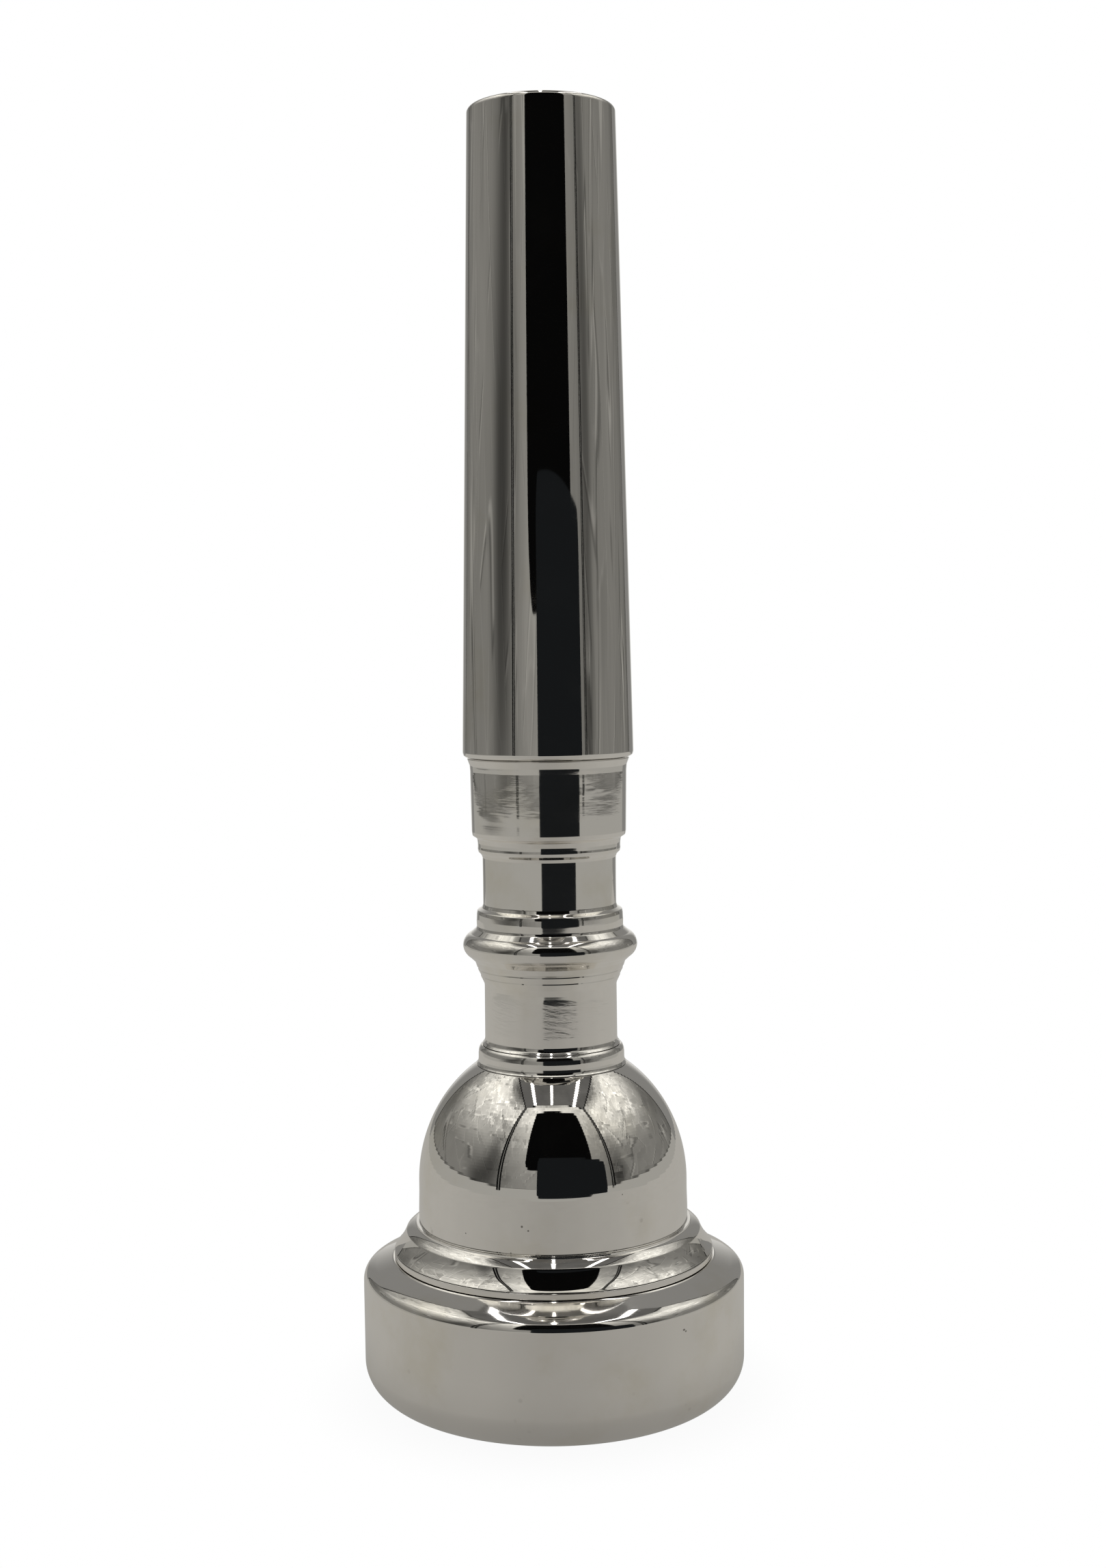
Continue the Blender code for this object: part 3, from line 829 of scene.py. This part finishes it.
# name, the wall's two floor corners, cloth
WALLS = (("tent_left", (LEFT_X, FRONT_Y), (LEFT_X, BACK_Y), partial(foil, **LEFT_CLOTH)),
         ("tent_right", (RIGHT_X, BACK_Y), (RIGHT_X, FRONT_Y), partial(foil, **RIGHT_CLOTH)),
         ("tent_front", (RIGHT_X, FRONT_Y), (LEFT_X, FRONT_Y), partial(foil, **FRONT_CLOTH)),
         ("tent_back", (LEFT_X, BACK_Y), (RIGHT_X, BACK_Y), back_cloth))
# each wall and the ceiling is a glowing card whose colour is painted light and shade of lit
# cloth
for name, start, end, cloth in WALLS:
    card(name, [(*start, 0), (*end, 0), (*end, TOP), (*start, TOP)], emission(name, cloth))
card("tent_ceiling", [(LEFT_X, BACK_Y, TOP), (RIGHT_X, BACK_Y, TOP),
                      (RIGHT_X, FRONT_Y, TOP), (LEFT_X, FRONT_Y, TOP)],
     emission("tent_ceiling", ceiling_cloth))

BLACK = emission("tent_black", (0.002, 0.002, 0.002))
SEAM = emission("tent_seam", (0.004, 0.004, 0.004))
SEAM_LIGHT = emission("tent_seam_light", (0.16, 0.16, 0.15))
LED = emission("tent_led", (1.0, 0.99, 0.98), strength=4.0)
LED_GLOW = emission("tent_led_glow", (1.0, 0.99, 0.97), strength=0.42)
SLAB = emission("camera_slab", (0.008, 0.009, 0.010))


# light strips under the ceiling: x and half width, as shares of its height
LED_STRIPS = ((-0.235, 0.0165), (-0.0105, 0.0048), (0.0040, 0.0056), (0.315, 0.0185))
NO_CLIP = 1                # the strip without a dark clip at its front end
GLOW_MARGIN = 0.0065 * CEILING_H
LED_BACK_Y = BACK_Y - 10
CLIP_HALF = 5


def strip(name, x, half, back, front, material):
    """A panel centred on x, between its back and front edges' (y, z)."""
    card(name, [(x - half, *back), (x + half, *back), (x + half, *front),
                (x - half, *front)], material)


for i, (x_share, half_share) in enumerate(LED_STRIPS):
    x, half = x_share * CEILING_H, half_share * CEILING_H
    strip("tent_led_%d" % i, x, half, (LED_BACK_Y, TOP - 5), (FRONT_Y + 4, TOP - 5), LED)
    strip("tent_led_glow_%d" % i, x, half + GLOW_MARGIN, (LED_BACK_Y, TOP - 4),
          (FRONT_Y + 3, TOP - 4), LED_GLOW)
    if i != NO_CLIP:
        strip("tent_led_clip_%d" % i, x, CLIP_HALF, (FRONT_Y + 4, TOP - 6),
              (FRONT_Y + 1, TOP - 13), SEAM)


def opening(name, x0, x1, z0, z1, radius, y, material):
    """An upright panel with rounded corners."""
    points = []
    for x, z, start in ((x1 - radius, z1 - radius, 0), (x0 + radius, z1 - radius, 90),
                        (x0 + radius, z0 + radius, 180), (x1 - radius, z0 + radius, 270)):
        for k in range(9):
            angle = math.radians(start + 90 * k / 8)
            points.append((x + radius * math.cos(angle), y, z + radius * math.sin(angle)))
    card(name, points, material)


# the tent's front window, and the plain dark slab that stands for the camera
opening("tent_window", x0=math.tan(math.radians(-24.0)) * FRONT,
        x1=math.tan(math.radians(35.0)) * FRONT, z0=CENTRE_Z + 0.28 * FRONT,
        z1=CENTRE_Z + 1.93 * FRONT, radius=22.0, y=FRONT_Y + 2, material=BLACK)
opening("camera_slab", x0=-30.0, x1=131.0, z0=7.0, z1=79.0, radius=8.0, y=-129.0,
        material=SLAB)

# tent edges: name, ends, half width, clearance toward the centre, light core or not
EDGES = (
    ("front_left", (LEFT_X, FRONT_Y, 22), (LEFT_X, FRONT_Y, TOP), 8.0, 10.0, True),
    ("front_right", (RIGHT_X, FRONT_Y, 22), (RIGHT_X, FRONT_Y, TOP), 7.6, 10.0, True),
    ("back_left", (LEFT_X, BACK_Y, 23), (LEFT_X, BACK_Y, TOP), 3.0, 3.0, False),
    ("back_right", (RIGHT_X, BACK_Y, 23), (RIGHT_X, BACK_Y, TOP), 3.0, 3.0, False),
    ("top_left", (LEFT_X, FRONT_Y, TOP - 8), (LEFT_X, BACK_Y, TOP - 8), 4.0, 6.0, False),
    ("top_right", (RIGHT_X, FRONT_Y, TOP - 8), (RIGHT_X, BACK_Y, TOP - 8), 4.0, 6.0, False),
    ("top_front", (LEFT_X, FRONT_Y, TOP - 6), (RIGHT_X, FRONT_Y, TOP - 6), 2.6, 5.0, False),
)
CORE_SHARE = 0.15          # of the edge's width

for name, start, end, half, clearance, core in EDGES:
    start, end = Vector(start), Vector(end)
    look = (Vector((0, 0, CENTRE_Z)) - (start + end) / 2).normalized()
    across = (end - start).normalized().cross(look).normalized()
    layers = [(half, SEAM, clearance)]
    if core:
        layers.append((half * CORE_SHARE, SEAM_LIGHT, clearance + 1))
    for k, (layer_half, material, lift) in enumerate(layers):
        side, off = across * layer_half, look * lift
        card("edge_%s_%d" % (name, k),
             [tuple(start - side + off), tuple(start + side + off),
              tuple(end + side + off), tuple(end - side + off)], material)

# ---------------------------------------------------------------------------
# floor, world and light
# ---------------------------------------------------------------------------
FLOOR_HALF, FLOOR_Z = 3000, -0.02
# degrees from the front, either way round, and the sheet's painted light there
SHEET_STOPS = ((0, 0.92), (40, 1.02), (68, 1.11), (97, 1.18), (145, 1.2), (180, 1.25))
SHEET_PEAK = 1.25


def floor_material():
    """Plain and pale to the camera; to the metal, a grey sheet of painted light and shade.
    """
    material, graph, glow = emitter("floor_pale")
    to_camera = graph.node("ShaderNodeLightPath").outputs["Is Camera Ray"]
    point = graph.node("ShaderNodeTexCoord").outputs["Object"]
    length = graph.node("ShaderNodeVectorMath", point, operation="LENGTH")
    r_mm = graph.mul(length.outputs["Value"], 1000.0)
    paper = graph.noise(point, scale=60.0, detail=3.0)
    # painted contact shade: the sheet is darker close to the rim
    away = graph.ramp(r_mm, off=8.0, on=26.0)
    sheet = graph.add(0.250, graph.mul(away, 0.095), graph.centred(paper, gain=0.03))
    # painted light on the sheet, changing with the direction round the axis
    place = graph.separate(point)
    turn = graph.size(graph.math("ARCTAN2", place[0], graph.mul(place[1], -1.0)))
    around = graph.curve(graph.mul(turn, DEGREES), low=0.0, high=180.0,
                         stops=[(stop, level / SHEET_PEAK) for stop, level in SHEET_STOPS])
    sheet = graph.mul(sheet, around, SHEET_PEAK)
    # a faint contact shade under the rim
    pale = graph.add(0.95, graph.mul(graph.ramp(r_mm, off=9.5, on=19.0), 0.05))
    graph.feed(glow.inputs["Strength"], graph.mix("FLOAT", to_camera, off=sheet, on=pale))
    graph.feed(glow.inputs["Color"], graph.mix("RGBA", to_camera, off=(1.0, 0.975, 0.915, 1),
                                               on=(1.0, 1.0, 1.0, 1)))
    return material


card("floor", [(-FLOOR_HALF, -FLOOR_HALF, FLOOR_Z), (FLOOR_HALF, -FLOOR_HALF, FLOOR_Z),
               (FLOOR_HALF, FLOOR_HALF, FLOOR_Z), (-FLOOR_HALF, FLOOR_HALF, FLOOR_Z)],
     floor_material(), camera=True)

# white to the camera, dim and warm to everything else
scene = bpy.context.scene
world = bpy.data.worlds.new("studio")
scene.world = world
sky = Graph(world)
sky_ray = sky.node("ShaderNodeLightPath").outputs["Is Camera Ray"]
sky.feed(sky.tree.nodes["Background"].inputs["Color"],
         sky.mix("RGBA", sky_ray, off=(0.22, 0.215, 0.205, 1), on=(1, 1, 1, 1)))

light = bpy.data.lights.new("soft_top", "AREA")
light.shape = "SQUARE"
light.size = 0.5           # metres
light.energy = 0.6         # watts
light_object = bpy.data.objects.new("soft_top", light)
light_object.location = (0, 0, 0.6)
light_object.visible_glossy = False
light_object.visible_camera = False
scene.collection.objects.link(light_object)

# ---------------------------------------------------------------------------
# camera
# ---------------------------------------------------------------------------
CAMERA_DISTANCE, CAMERA_HEIGHT = 140.649, 53.051
CAMERA_DOWN, CAMERA_ROLL = 6.052, 0.652       # degrees

camera = bpy.data.cameras.new("camera")
camera.sensor_fit = "AUTO"
camera.sensor_width = 36.0
camera.lens = 46.9050522648
# shifts are shares of the frame's longer side
camera.shift_x = 0.002447735192
camera.shift_y = 0.043584494774
camera.clip_start = 0.005
camera.clip_end = 20.0
camera_object = bpy.data.objects.new("camera", camera)
camera_object.matrix_world = (
    Matrix.Translation((0, -CAMERA_DISTANCE * MM, CAMERA_HEIGHT * MM))
    @ Matrix.Rotation(math.radians(90 - CAMERA_DOWN), 4, "X")
    @ Matrix.Rotation(math.radians(-CAMERA_ROLL), 4, "Z"))
scene.collection.objects.link(camera_object)
scene.camera = camera_object
scene.view_settings.view_transform = "Standard"
scene.view_settings.look = "None"
